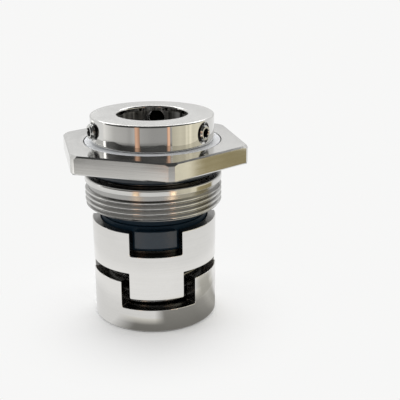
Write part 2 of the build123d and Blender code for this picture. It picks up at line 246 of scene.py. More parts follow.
# The floor further out as the steel sees it, brighter to the left and with a dark band round it: painted
# reflection.
board("table",
      level(1, (170, 0.95), (199, 0.90), (218, 0.66), (237, 0.48), (240, 0.04), (249, 0.04), (258, 0.56),
            (340, 0.55), (690, 0.40)),
      [(-100, 2.1), (-72, 1.15), (-47, 1), (-40, 0.85), (-33, 1.05), (-20, 0.9), (0, 0.76), (40, 0.8)],
      (1.0, 0.99, 0.97), fade=4)
board("table_shade", level(1.5, (211, 0.60), (218, 0.25), (239, 0.15)), [(-37.5, 1), (-20, 1)],
      (1.0, 0.95, 0.88), fade=1.5)
board("front_shade", level(0.4, (TABLE_EDGE_R, 0.19), (24, 0.21), (28.5, 0.80)), [(-50, 1), (60, 1)],
      WARM, fade=26)
board("side_shade", level(0.5, (TABLE_EDGE_R, 0.19), (33, 0.26), (37, 0.42), (42, 0.90)),
      [(-2, 1), (50, 1.1), (70, 1.4), (84, 2.0), (110, 1.6)], WARM, fade=12)
board("edge_shade", level(0.6, (34, 0.42), (46, 0.50), (58, 0.95)), [(55, 1), (115, 1)],
      (1.0, 0.98, 0.90), fade=20)
# Cream and olive-brown boards at the right: painted reflection of a cream thing standing there, lit in the
# collar and shaded olive-brown in the hex's right face.
board("cream_painted_reflection", upright(78, (12, 0.9), (90, 1.0)),
      [(30, 0.85), (45, 1.1), (54, 1.0), (57, 1.5), (60, 1.1), (64, 1.6), (69, 1.2), (80, 1.3), (100, 1.0)],
      CREAM, fade=1)
board("olive_painted_reflection", upright(77.5, (12, 1.0), (44, 1.0)), [(64, 1.1), (80, 0.95), (100, 0.8)], OLIVE, fade=2)
# Copper-coloured strips that glow, up to five times as bright as white at their feet: painted copper
# reflections and glints on the collar, hex and thread.
for side, post_sides, foot_glow, foot_fall, foot_sides in (
        ("left", [(-30.6, 0.9), (-27, 1), (-21, 0.4)], 3.0, 0.9, [(-32, 0.8), (-27, 1), (-21, 0.5)]),
        ("right", [(24.0, 0.6), (27, 1.2), (30.2, 1.2)], 5.0, 1.0, [(24, 0.5), (27, 1), (36, 1.1)])):
    board("copper_glow_post_" + side, upright(POST_R, (0, 1), (120, 1)), post_sides, COPPER, fade=1.2, steps=12)
    board("copper_glow_foot_" + side,
          upright(FOOT_R, (3, foot_glow), (15, foot_glow), (17, foot_fall), (21, foot_fall)),
          foot_sides, PALE_COPPER, fade=1.5, steps=12)

# ---- Shaft sleeve -------------------------------------------------------------------------
# The tube that everything is stacked on, turned from stainless bar. The collar's screws reach
# through its three holes to the pump shaft. It is grooved inside for an O-ring and outside for a clip.

FULL_TURN = 2 * math.pi
UP = np.array([0, 0, 1])
ROUND = 180                 # steps round a plain turned surface
ARC_STEP = 0.3              # widest turn, in radians, between two points of a rounded corner
WELD = 1e-7                 # corners nearer than this, in metres, are one corner
WELD_SHIFT = 0.37           # how far the cells are moved off round sizes, as a share of one


def joined(name, grids):
    """One closed mesh from grids that meet edge to edge. A grid is (points, normals), rows by columns.
    Corners that coincide are welded, faces that have no area go, each face is wound so that it looks
    along its grid's outward normals, and the grids' own normals shade the mesh."""
    corners, normals, faces = [], [], []
    base = 0
    for p, n in grids:
        rows, columns = p.shape[:2]
        index = np.arange(rows * columns).reshape(rows, columns)
        quad = np.stack([index[:-1, :-1], index[:-1, 1:], index[1:, 1:], index[1:, :-1]], -1).reshape(-1, 4)
        p, n = p.reshape(-1, 3), n.reshape(-1, 3)
        q = p[quad]
        looks = np.cross(q[:, 2] - q[:, 0], q[:, 3] - q[:, 1])
        if np.sum(looks * n[quad].mean(1)) < 0:
            quad = quad[:, ::-1]
        corners.append(p)
        normals.append(n)
        faces.append(quad + base)
        base += len(p)
    corners, normals, faces = np.concatenate(corners), np.concatenate(normals), np.concatenate(faces)
    cell = np.floor(corners / WELD + WELD_SHIFT).astype(np.int64)
    _, first, index = np.unique(cell, axis=0, return_index=True, return_inverse=True)
    welded = index.reshape(-1)[faces]
    twin = welded == np.roll(welded, -1, axis=1)
    twin |= (welded == np.roll(welded, 2, axis=1)) & (np.arange(4) > 1)
    kept = ~twin
    kept[kept.sum(1) < 3] = False
    sizes = kept.sum(1)
    sizes = sizes[sizes > 0]
    slopes = normals[faces[kept]]
    slopes /= np.maximum(np.linalg.norm(slopes, axis=1, keepdims=True), 1e-9)
    mesh = bpy.data.meshes.new(name)
    mesh.vertices.add(len(first))
    mesh.vertices.foreach_set("co", corners[first].reshape(-1))
    mesh.loops.add(len(slopes))
    mesh.loops.foreach_set("vertex_index", welded[kept].astype(np.int32))
    mesh.polygons.add(len(sizes))
    mesh.polygons.foreach_set("loop_start", (np.cumsum(sizes) - sizes).astype(np.int32))
    mesh.update(calc_edges=True)
    mesh.polygons.foreach_set("use_smooth", np.ones(len(sizes), bool))
    mesh.normals_split_custom_set(slopes.tolist())
    obj = bpy.data.objects.new(name, mesh)
    scene.collection.objects.link(obj)
    return obj


def outline(corners, closed=True):
    """Points and outward normals along an outline walked with the material on its left. A corner is
    (radius, height, rounding) in millimetres. Where the rounding is nought the corner is sharp, and
    its point comes twice, with the normal before it and the normal after it."""
    spots = np.array([corner[:2] for corner in corners], float)
    points, normals = [], []
    last = len(spots) - 1
    for i, here in enumerate(spots):
        back, on = spots[i - 1] - here, spots[(i + 1) % len(spots)] - here
        back, on = back / np.linalg.norm(back), on / np.linalg.norm(on)
        side_in, side_out = np.array([-back[1], back[0]]), np.array([on[1], -on[0]])
        cut = corners[i][2] if len(corners[i]) > 2 else 0
        if not closed and i in (0, last):
            points += [here]
            normals += [side_out if i == 0 else side_in]
        elif not cut:
            points += [here, here]
            normals += [side_in, side_out]
        else:
            half = math.acos(np.clip(back @ on, -1, 1)) / 2
            middle = here + (back + on) / np.linalg.norm(back + on) * cut / math.sin(half)
            bulge = 1 if side_in @ (here - middle) > 0 else -1
            start, end = (here + way * cut / math.tan(half) - middle for way in (back, on))
            turn = math.atan2(start[0] * end[1] - start[1] * end[0], start @ end)
            steps = max(3, round(abs(turn) / ARC_STEP))
            a = math.atan2(start[1], start[0]) + turn * np.linspace(0, 1, steps + 1)
            spoke = np.stack([np.cos(a), np.sin(a)], 1)
            points += list(middle + cut * spoke)
            normals += list(bulge * spoke)
    if closed:
        points.append(points[0])
        normals.append(normals[0])
    return np.array(points), np.array(normals)


def ray(angle):
    """Directions straight out from the shaft's axis, at angles about it."""
    return np.stack([np.cos(angle), np.sin(angle), np.zeros_like(angle)], -1)


def beside(angle):
    """Directions along a ring about the shaft's axis, at angles on it."""
    return np.stack([-np.sin(angle), np.cos(angle), np.zeros_like(angle)], -1)


def on_ring(radius, angle, height, out, along, rise):
    """A grid of points at radii, angles and heights in millimetres. Its normals are given by their
    parts outward, along the ring and up."""
    radius, angle, height, out, along, rise = np.broadcast_arrays(radius, angle, height, out, along, rise)
    points = radius[..., None] * ray(angle) + height[..., None] * UP
    return points * MM, out[..., None] * ray(angle) + along[..., None] * beside(angle) + rise[..., None] * UP


def spun(line, angle):
    """A grid: the outline's points and normals, turned about Z to each of the angles."""
    points, normals = line
    return on_ring(points[:, :1], angle, points[:, 1:], normals[:, :1], 0, normals[:, 1:])


def all_round(first=0.0, steps=ROUND):
    """Angles once round from the first, with the first again at the end."""
    return first + np.linspace(0, FULL_TURN, steps + 1)


def turned(name, corners):
    """A lathe-turned piece: a closed outline carried once round Z."""
    return joined(name, [spun(outline(corners), all_round())])


HOLE_ROWS = 14              # steps up the panel round each hole
HOLE_COLUMNS = 36           # and across it
HOLE_RINGS = 8              # steps from a hole's rim to its panel's border
WALL_COLUMNS = 360          # steps right round a drilled wall
SCREW_Z = 61.5
SCREW_AZIMUTHS = [math.radians(-157.0 + 120 * i) for i in range(3)]


def panel_border():
    """Once round the panel at a hole, from its lower left corner: how far across and how far up each
    of its points is, from -1 to 1, and the angle about the hole's axis of the line that runs to it."""
    across, up = np.linspace(-1, 1, HOLE_COLUMNS + 1), np.linspace(-1, 1, HOLE_ROWS + 1)
    x = np.concatenate([across, np.ones(HOLE_ROWS), across[-2::-1], -np.ones(HOLE_ROWS)])
    y = np.concatenate([-np.ones(HOLE_COLUMNS + 1), up[1:], np.ones(HOLE_COLUMNS), up[-2::-1]])
    return x, y, np.arctan2(y, x)


PANEL_X, PANEL_Y, HOLE_TURN = panel_border()


def drilled(radius, low, high, hole, side):
    """The grids of an upright wall that looks out (side 1) or in (side -1), with the three round holes.
    Between the holes it is a plain grid. At each hole, lines run from the hole's rim out to the border
    of an upright panel, closer together near the rim. hole gives the rim on a wall, as distances from
    the hole's own axis."""
    step = FULL_TURN / WALL_COLUMNS
    half = HOLE_COLUMNS // 2
    heights = np.linspace(low, high, HOLE_ROWS + 1)[:, None]
    following = SCREW_AZIMUTHS[1:] + [SCREW_AZIMUTHS[0] + FULL_TURN]
    rim = hole(radius)
    rim_a, rim_z = np.arcsin(rim * np.cos(HOLE_TURN) / radius), SCREW_Z + rim * np.sin(HOLE_TURN)
    edge_a, edge_z = PANEL_X * half * step, low + (PANEL_Y + 1) / 2 * (high - low)
    share = np.linspace(0, 1, HOLE_RINGS + 1)[:, None] ** 1.5
    angle, height = rim_a + share * (edge_a - rim_a), rim_z + share * (edge_z - rim_z)
    grids = []
    for azimuth, after in zip(SCREW_AZIMUTHS, following):
        plain = azimuth + step * np.arange(half, round((after - azimuth) / step) - half + 1)
        grids.append(on_ring(radius, plain, heights, side, 0, 0))
        grids.append(on_ring(radius, azimuth + angle, height, side, 0, 0))
    return grids


def hole_wall(azimuth, rows):
    """The wall of a radial hole. Each row is (distance from the shaft's axis, distance from the hole's
    axis, and the normal's share along the hole). The distances may change with the turn about the hole."""
    spoke = np.cos(HOLE_TURN)[:, None] * beside(azimuth) + np.sin(HOLE_TURN)[:, None] * UP
    points, normals = [], []
    for reach, radius, lean in rows:
        reach, radius = (np.broadcast_to(a, HOLE_TURN.shape)[:, None] for a in (reach, radius))
        points.append(reach * ray(azimuth) + radius * spoke + SCREW_Z * UP)
        normals.append(lean * ray(azimuth) - math.sqrt(1 - lean * lean) * spoke)
    return np.array(points) * MM, np.array(normals)


SHAFT_R = 11.0
SLEEVE_R = 13.2
SLEEVE_Z = 0.5
SLEEVE_TOP_Z = 64.0
SLEEVE_HOLE_R = 2.7
SLEEVE_PANEL = (58.0, 64.0)     # heights between which the sleeve's drilled walls run
END_STRIP = 0.01                # metal left between a hole that reaches the sleeve's end and the end
SEAL_GROOVE_R = 12.35
SEAL_GROOVE_Z = (6.65, 8.55)
CLIP_GROOVE_R = 12.6
CLIP_GROOVE_Z = (0.9, 2.1)
LEAD_IN_R = 11.4                # the bore's foot opens to this radius, from LEAD_IN_Z down
LEAD_IN_Z = 0.9

STEEL = (0.70, 0.695, 0.675)


def new_group(name, inputs, outputs):
    """A shader node group with named number inputs and outputs, and its two end nodes' sockets."""
    group = bpy.data.node_groups.new(name, "ShaderNodeTree")
    for label, value in inputs.items():
        socket = group.interface.new_socket(label, in_out="INPUT", socket_type="NodeSocketFloat")
        socket.default_value = value
    for label in outputs:
        group.interface.new_socket(label, in_out="OUTPUT", socket_type="NodeSocketFloat")
    return group, group.nodes.new("NodeGroupInput").outputs, group.nodes.new("NodeGroupOutput").inputs


def stretched(tree, value, low, high, start=0.0, end=1.0):
    """A value between low and high, spread evenly to lie between start and end."""
    limits = {"Value": value, "From Min": low, "From Max": high, "To Min": start, "To Max": end}
    return add_node(tree, "MapRange", limits).outputs["Result"]


def mixed(tree, share, first, second):
    """The first number where share is 0, the second where it is 1."""
    return add_node(tree, "Mix", {0: share, 2: first, 3: second}).outputs[0]


def blend(tree, share, first, second):
    """The first colour where share is 0, the second where it is 1."""
    return add_node(tree, "Mix", {0: share, 6: first, 7: second}, data_type="RGBA").outputs[2]


def vector(tree, operation, inputs):
    """One step of arithmetic on vectors."""
    return add_node(tree, "VectorMath", inputs, operation=operation).outputs


def turned_marks():
    """The rings that a turning tool leaves: noise read at a point's radius and height alone, so that it
    runs round Z. On an upright face the radius goes no further than Flats Beyond, so that on a flat
    milled outside that radius the marks run level. Fineness is in marks to the metre. Level is 1 on
    level faces and 0 on upright ones. Buffed is 1 beyond the radius Buffed Beyond and 0 well inside it."""
    inputs = {"Fineness": 1500.0, "Flats Beyond": 1.0, "Buffed Beyond": 0.0}
    group, given, made = new_group("turned_marks", inputs, ["Marks", "Level", "Buffed"])
    place = add_node(group, "TexCoord").outputs
    flat = vector(group, "MULTIPLY", {0: place["Object"], 1: (1, 1, 0)})["Vector"]
    radius = vector(group, "LENGTH", {0: flat})["Value"]
    held = maths(group, "MINIMUM", radius, given["Flats Beyond"])
    facing = add_node(group, "SeparateXYZ", {0: place["Normal"]}).outputs["Z"]
    level_share = maths(group, "ABSOLUTE", facing)
    across = mixed(group, level_share, held, radius)
    axes = add_node(group, "SeparateXYZ", {0: place["Object"]}).outputs
    drift = maths(group, "MULTIPLY", axes["X"], 0.02)
    at = add_node(group, "CombineXYZ", {0: across, 1: drift, 2: axes["Z"]}).outputs["Vector"]
    fine = vector(group, "SCALE", {0: at, "Scale": given["Fineness"]})["Vector"]
    noise = add_node(group, "TexNoise", {"Vector": fine, "Scale": 1.0, "Detail": 3.0, "Roughness": 0.65})
    group.links.new(stretched(group, noise.outputs["Fac"], 0.3, 0.7), made["Marks"])
    group.links.new(level_share, made["Level"])
    inner = maths(group, "SUBTRACT", given["Buffed Beyond"], 0.2 * MM)
    group.links.new(stretched(group, radius, inner, given["Buffed Beyond"]), made["Buffed"])
    return group


def handling():
    """The faint clouding that fingers and wiping leave on a finish, as patches of a given size in metres,
    drawn out along Z by Stretch."""
    group, given, made = new_group("handling", {"Patch Size": 0.006, "Stretch": 1.0}, ["Clouding"])
    place = add_node(group, "TexCoord").outputs["Object"]
    count = maths(group, "DIVIDE", 1.0, given["Patch Size"])
    squeeze = maths(group, "DIVIDE", 1.0, given["Stretch"])
    shares = add_node(group, "CombineXYZ", {0: 1.0, 1: 1.0, 2: squeeze}).outputs["Vector"]
    drawn = vector(group, "MULTIPLY", {0: place, 1: shares})["Vector"]
    noise = add_node(group, "TexNoise", {"Vector": drawn, "Scale": count, "Detail": 4.0, "Roughness": 0.6,
                                         "Distortion": 0.6})
    group.links.new(stretched(group, noise.outputs["Fac"], 0.35, 0.65), made["Clouding"])
    return group


TURNED_MARKS = turned_marks()
HANDLING = handling()


def marked(tree, fineness, flats=1000.0, buffed=0.0):
    """The turned marks placed in a material, with both radii in millimetres."""
    inputs = {"Fineness": fineness, "Flats Beyond": flats * MM, "Buffed Beyond": buffed * MM}
    return add_node(tree, "Group", inputs, node_tree=TURNED_MARKS).outputs


def clouded(tree, patch, stretch=1.0):
    """The clouding placed in a material, with its patches' size in metres."""
    inputs = {"Patch Size": patch, "Stretch": stretch}
    return add_node(tree, "Group", inputs, node_tree=HANDLING).outputs[0]


def shaded(colour, share):
    """A colour darker or lighter by a share, with full alpha."""
    return (*[channel * share for channel in colour], 1)


def finished(tree, shader, colour, rough, height, depth):
    """Give a shader its colour, its roughness, and a bump depth millimetres deep that follows height."""
    bump = add_node(tree, "Bump", {"Strength": 1.0, "Distance": depth * MM, "Height": height})
    for name, value in (("Base Color", colour), ("Roughness", rough), ("Normal", bump.outputs["Normal"])):
        tree.links.new(value, shader.inputs[name])


def steel(name, colour=STEEL, polish=(0.06, 0.14), satin=(0.12, 0.24), fineness=1500.0, depth=0.0006,
          flats=1000.0, shading=0.06, grain=0.0, buffed=0.0, painted_shade_inside=0.35, dull=(0.16, 0.30),
          clouds=(0.007, 1.0, 0.4)):
    """Turned stainless steel, polished on its upright faces and left satin on its level ones. The
    tool's marks and the clouding of handling change its roughness and shade it a little, and the
    marks, depth millimetres deep, bend what it reflects. grain is how far it draws that out. On flats
    milled outside the radius flats the marks run level. Inside the radius buffed no buff reached it, so
    it is dull there; its colour there is darker by painted_shade_inside, which is painted shade in the bores,
    slots, roots and holes that lie inside. Both radii are in millimetres. clouds are the clouding's patch
    size in metres, how far it is drawn out along Z, and its share."""
    material, tree, shader = new_material(name)
    tooled = marked(tree, fineness, flats, buffed)
    patch, stretch, cloud_share = clouds
    both = mixed(tree, cloud_share, tooled["Marks"], clouded(tree, patch, stretch))
    buffed_rough, level_rough, inner_rough = (stretched(tree, both, 0, 1, *limits)
                                              for limits in (polish, satin, dull))
    bright = mixed(tree, tooled["Level"], buffed_rough, level_rough)
    rough = mixed(tree, tooled["Buffed"], inner_rough, bright)
    # cut is the colour inside the buffed radius, darkened there as painted shade; clean is the colour outside
    # it.
    cut, clean = (blend(tree, both, shaded(colour, share * (1 - shading)), shaded(colour, share))
                  for share in (painted_shade_inside, 1))
    tint = blend(tree, tooled["Buffed"], cut, clean)
    finished(tree, shader, tint, rough, tooled["Marks"], depth)
    shader.inputs["Metallic"].default_value = 1
    shader.inputs["Anisotropic"].default_value = grain
    return material


def plain_hole(radius):
    """The rim of a straight hole, which stops just short of the sleeve's end where it reaches it."""
    ceiling = (SLEEVE_TOP_Z - END_STRIP - SCREW_Z) / np.maximum(np.sin(HOLE_TURN), 1e-6)
    rim = np.where(HOLE_TURN > 0, np.minimum(radius, ceiling), radius)
    return lambda wall_r: rim


def through(wall_r, rim):
    """A row of a hole's wall at an upright wall: how far out from the shaft's axis it meets it."""
    return np.sqrt(wall_r * wall_r - (rim * np.cos(HOLE_TURN)) ** 2), rim, 0.0


sleeve_hole = plain_hole(SLEEVE_HOLE_R)
outside = drilled(SLEEVE_R, *SLEEVE_PANEL, sleeve_hole, 1)
inside = drilled(SHAFT_R, *SLEEVE_PANEL, sleeve_hole, -1)
holes = [hole_wall(azimuth, [through(wall_r, sleeve_hole(wall_r)) for wall_r in (SHAFT_R, SLEEVE_R)])
         for azimuth in SCREW_AZIMUTHS]
above = outline([(SLEEVE_R, SLEEVE_TOP_Z), (SHAFT_R, SLEEVE_TOP_Z)], closed=False)
below = outline([(SHAFT_R, SLEEVE_PANEL[0]), (SHAFT_R, SEAL_GROOVE_Z[1], 0.1),
                 (SEAL_GROOVE_R, SEAL_GROOVE_Z[1], 0.1), (SEAL_GROOVE_R, SEAL_GROOVE_Z[0], 0.1),
                 (SHAFT_R, SEAL_GROOVE_Z[0], 0.1), (SHAFT_R, LEAD_IN_Z, 0.05), (LEAD_IN_R, SLEEVE_Z, 0.05),
                 (SLEEVE_R, SLEEVE_Z, 0.1), (SLEEVE_R, CLIP_GROOVE_Z[0]), (CLIP_GROOVE_R, CLIP_GROOVE_Z[0]),
                 (CLIP_GROOVE_R, CLIP_GROOVE_Z[1]), (SLEEVE_R, CLIP_GROOVE_Z[1]),
                 (SLEEVE_R, SLEEVE_PANEL[0])], closed=False)
even = all_round(SCREW_AZIMUTHS[0], WALL_COLUMNS)
sleeve = joined("sleeve_tube", [spun(above, even), spun(below, even)] + outside + inside + holes)
# Its bore is darkened a little: painted shade.
sleeve_steel = steel("sleeve_steel", shading=0.8, buffed=SHAFT_R + 0.3, painted_shade_inside=0.9, dull=(0.25, 0.60),
                     clouds=(0.0018, 20.0, 0.9))
sleeve.data.materials.append(sleeve_steel)
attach(sleeve, "rotor")
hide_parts("shaft_sleeve")

# ---- Shaft O-ring and foot clip -----------------------------------------------------------
# A moulded rubber ring sits in the bore's groove and seals on the shaft. A sprung wire ring, open
# at one side, snaps into the groove at the foot and keeps the lower driver on.

WIRE_SIDES = 28             # sides of a round section


def rubber(name, colour=(0.004, 0.012, 0.020)):
    """Black moulded rubber, tinted blue-black all over: painted sheen, for the blue it shows where it
    shines. Its skin is faintly pitted by the mould, and handling leaves it duller in patches."""
    material, tree, shader = new_material(name)
    clouding, pits = clouded(tree, 0.004), clouded(tree, 0.00025)
    tint = blend(tree, clouding, shaded(colour, 0.8), shaded(colour, 1))
    finished(tree, shader, tint, stretched(tree, clouding, 0, 1, 0.30, 0.46), pits, depth=0.004)
    return material


def round_section(middle_r, wire, z, start=0.0, end=FULL_TURN):
    """A round wire bent about Z: a circle, whose own turn is one parameter, carried along an arc."""
    turn = np.linspace(0, FULL_TURN, WIRE_SIDES + 1)
    circle = np.stack([np.cos(turn), np.sin(turn)], 1)
    return spun(((middle_r, z) + wire / 2 * circle, circle), np.linspace(start, end, ROUND + 1))


black_rubber = rubber("o_ring_rubber")


def o_ring(name, middle_r, wire, z, body, node):
    """A black rubber ring that rides on a body in place of its plain node."""
    ring = joined(name, [round_section(middle_r, wire, z)])
    ring.data.materials.append(black_rubber)
    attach(ring, body)
    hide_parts(node)


o_ring("bore_seal", middle_r=11.68, wire=1.3, z=7.6, body="rotor", node="shaft_o_ring")

CLIP_WIRE = 1.2
CLIP_Z = 1.5
CLIP_HALF_GAP = math.radians(10)


def wire_end(middle_r, wire, z, angle, side):
    """The flat end of a bent wire: rings of shrinking size in the cut's plane."""
    turn = np.linspace(0, FULL_TURN, WIRE_SIDES + 1)
    size = np.array([[1], [0.5], [0]]) * wire / 2
    return on_ring(middle_r + size * np.cos(turn), angle, z + size * np.sin(turn), 0, side, 0)


clip_grids = [round_section(SLEEVE_R, CLIP_WIRE, CLIP_Z, CLIP_HALF_GAP, FULL_TURN - CLIP_HALF_GAP),
              wire_end(SLEEVE_R, CLIP_WIRE, CLIP_Z, CLIP_HALF_GAP, -1),
              wire_end(SLEEVE_R, CLIP_WIRE, CLIP_Z, FULL_TURN - CLIP_HALF_GAP, 1)]
clip = joined("foot_clip", clip_grids)
# The wire's colour is far darker than the other steels': painted shade, as spring and clip sit deep inside
# the drivers.
shade_darkened_wire_steel = steel("shade_darkened_wire_steel", colour=(0.30, 0.30, 0.295), polish=(0.16, 0.30), satin=(0.16, 0.30),
                   fineness=2600.0)
clip.data.materials.append(shade_darkened_wire_steel)
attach(clip, "rotor")
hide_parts("sleeve_clip")

# ---- Lower driver -------------------------------------------------------------------------
# A cup turned from bar and pressed on the sleeve's foot. Three slots milled down from its rim take
# the upper driver's tongues, so that it drives the head round while the head floats.

DRIVE_AZIMUTH = math.radians(-89)
DRIVER_R = 19.75
DRIVER_BORE_R = 15.75
DRIVER_EDGE = 0.15
LOWER_TOP_Z = 16.3
LOWER_SLOT_Z = 7.6
LOWER_SLOT_HALF = math.radians(71.4 / 2)
LOWER_SLOT_LEAD = math.radians(2)
SLOT_CORNER = 0.7
EDGE_BREAK = 0.22           # rounding of a slot's upper corners
CUP_FLOOR_Z = 5.0
CLIP_ROOM_R = 15.2          # recess in the cup's foot, round the clip
FOOT_CHAMFER = 0.5
FOOT_SOFT = 0.06            # rounding of the chamfer's two edges


def step_line(step, z1, z2, r1, r2, up, counts):
    """Half a castellation, developed on the driver's outside: level at z1 from the middle of one
    part, over a rounded corner to a wall at the angle step, down or up it, over the second corner,
    and level at z2 to the middle of the next. Gives angle, height and the outward normal (along, up)
    at each point, and where the wall starts and ends."""
    flat1, arc1, wall, arc2, flat2 = counts
    s = 1 if z2 > z1 else -1
    lean = -up * s
    a1, a2 = step - r1 / DRIVER_R, step + r2 / DRIVER_R
    t1, t2 = (np.linspace(0, math.pi / 2, arc + 1) for arc in (arc1, arc2))
    angle = [np.linspace(-math.pi / 3, a1, flat1 + 1)[:-1], a1 + r1 / DRIVER_R * np.sin(t1),
             np.full(wall - 1, step), a2 - r2 / DRIVER_R * np.cos(t2), np.linspace(a2, 0, flat2 + 1)[1:]]
    height = [np.full(flat1, z1), z1 + s * r1 * (1 - np.cos(t1)),
              np.linspace(z1 + s * r1, z2 - s * r2, wall + 1)[1:-1], z2 - s * r2 * (1 - np.sin(t2)),
              np.full(flat2, z2)]
    along = [np.zeros(flat1), lean * np.sin(t1), np.full(wall - 1, lean), lean * np.cos(t2), np.zeros(flat2)]
    rise = [np.full(flat1, up), up * np.cos(t1), np.zeros(wall - 1), up * np.sin(t2), np.full(flat2, up)]
    line = [np.concatenate(a) for a in (angle, height, along, rise)]
    return line, flat1 + arc1, flat1 + arc1 + wall


def rolled(line, radius, edge):
    """A rounded edge: a quarter of a circle that follows a line of (angle, height, along, up) and turns
    from the outside into the side that the line ends. Also its border on the outside."""
    angle, height, along, rise = line
    bend = np.linspace(0, math.pi / 2, 5)[:, None]
    inset = edge * (1 - np.sin(bend))
    grid = on_ring(radius - edge * (1 - np.cos(bend)), angle - inset * along / radius, height - inset * rise,
                   np.cos(bend), np.sin(bend) * along, np.sin(bend) * rise)
    return grid, angle - edge * along / radius, height - edge * rise


def castellation(line, wall_start, wall_end, tall_first, inner_r, inner_z):
    """The grids of one half castellation: its edge rolled over from the outside, its wall through to
    the inside, and both faces of its tall part. Also the outside's own border row, and the inside's
    angles."""
    angle, height, along, rise = line
    rim, edge_a, edge_z = rolled(line, DRIVER_R, DRIVER_EDGE)
    reach = np.linspace(DRIVER_R - DRIVER_EDGE, inner_r, 4)[:, None]
    squeeze = np.hypot(along, rise * reach / DRIVER_R)
    grids = [rim, on_ring(reach, angle, height, 0, along / squeeze, rise * reach / DRIVER_R / squeeze)]
    before, after = slice(0, wall_start + 1), slice(wall_end, None)
    tall, foot, crest = (before, wall_end, wall_start) if tall_first else (after, wall_start, wall_end)
    foot_z = height[foot]
    share = ((height[wall_start:wall_end + 1] - foot_z) / (height[crest] - foot_z))[:, None]
    borders = []
    for radius, a, z, out in ((DRIVER_R, edge_a, edge_z, 1), (inner_r, angle, height, -1)):
        grids.append(on_ring(radius, a[tall], foot_z + share * (z[tall] - foot_z), out, 0, 0))
        z = z.copy()
        z[tall] = foot_z
        borders.append([np.concatenate([b[before], b[after][1:]]) for b in (a, z)])
    inner_a, inner_border = borders[1]
    share = np.linspace(0, 1, 4)[:, None]
    grids.append(on_ring(inner_r, inner_a, inner_z + share * (inner_border - inner_z), -1, 0, 0))
    return grids, borders[0], inner_a


def between(lower, upper, rows):
    """The driver's outside between two border rows of (angle, height), row by row."""
    share = np.linspace(0, 1, rows + 1)[:, None]
    angle, height = (a + share * (b - a) for a, b in zip(lower, upper))
    return on_ring(DRIVER_R, angle, height, 1, 0, 0)


def spun_between(line, first_angles, last_angles):
    """An outline carried round Z, its angles passing from one set to another along its length."""
    points = line[0]
    length = np.cumsum(np.hypot(*np.diff(points, axis=0, prepend=points[:1]).T))
    share = (length / length[-1])[:, None]
    return spun(line, first_angles + share * (last_angles - first_angles))


def moved(grids, turn, shift=0.0):
    """Grids turned by a matrix and then shifted."""
    return [(points @ turn.T + shift, normals @ turn.T) for points, normals in grids]


def three_times(grids, azimuth, halves=(1, -1)):
    """Grids set at three azimuths, each time together with their mirrored half if they have one."""
    whole = []
    for a in azimuth + FULL_TURN / 3 * np.arange(3):
        turn = np.stack([ray(a), beside(a), UP], 1)
        for side in halves:
            whole += moved(grids, turn @ np.diag([1, side, 1]))
    return whole


COUNTS = (22, 5, 8, 6, 20)  # points on the first flat, corner, wall, second corner and second flat
line, *wall = step_line(-LOWER_SLOT_HALF, LOWER_TOP_Z, LOWER_SLOT_Z, EDGE_BREAK, SLOT_CORNER, 1, COUNTS)
rim, border, inner_a = castellation(line, *wall, True, DRIVER_BORE_R, CUP_FLOOR_Z)
foot = (border[0], np.full_like(border[1], FOOT_CHAMFER + FOOT_SOFT))
cup = outline([(DRIVER_BORE_R, CUP_FLOOR_Z), (SLEEVE_R, CUP_FLOOR_Z), (SLEEVE_R, CLIP_GROOVE_Z[1]),
               (CLIP_ROOM_R, CLIP_GROOVE_Z[1]), (CLIP_ROOM_R, 0, 0.1),
               (DRIVER_R - FOOT_CHAMFER, 0, FOOT_SOFT), (DRIVER_R, FOOT_CHAMFER, FOOT_SOFT),
               (DRIVER_R, FOOT_CHAMFER + FOOT_SOFT)], closed=False)
half = rim + [between(foot, border, 6), spun_between(cup, inner_a, border[0])]
lower_driver = joined("lower_driver_cup", three_times(half, DRIVE_AZIMUTH + LOWER_SLOT_LEAD))
# The drivers' steel is lighter than the other steels': painted light, for the bright floor it reflects.
# Inside the rim's radius its slots and bore are darkened: painted shade.
driver_steel = steel("driver_steel", colour=(0.76, 0.75, 0.725), polish=(0.05, 0.12), fineness=2200.0,
                     depth=0.0004, buffed=DRIVER_R - 0.1, painted_shade_inside=0.30)
lower_driver.data.materials.append(driver_steel)
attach(lower_driver, "rotor")
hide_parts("lower_driver")

# ---- Spring -------------------------------------------------------------------------------
# One coil of hard-drawn stainless wire between the cup's floor and the upper driver's shelf. It
# presses the faces together and shortens as the head moves down.

SPRING_WIRE = 1.8
SPRING_R = 14.475
SPRING_TURNS = 4.5
SPRING_STEPS = 72           # to a turn
SPRING_SIDES = 16
SHELF_Z = 22.6


def coil(turn, around):
    """A wire wound on a screw line: its middle climbs evenly with the turn about Z, and the surface
    stands half the wire's thickness off it, at an angle round the wire's own section. Gives the
    middle, the direction of the surface from it, and the direction in which the wire runs."""
    rise = (SHELF_Z - CUP_FLOOR_Z - SPRING_WIRE) / (FULL_TURN * SPRING_TURNS)
    slant = math.atan2(rise, SPRING_R)
    lift = math.cos(slant) * UP - math.sin(slant) * beside(turn)
    off = np.cos(around)[..., None] * ray(turn) + np.sin(around)[..., None] * lift
    middle = SPRING_R * ray(turn) + (CUP_FLOOR_Z + SPRING_WIRE / 2 + rise * turn)[..., None] * UP
    return middle, off, math.cos(slant) * beside(turn) + math.sin(slant) * UP


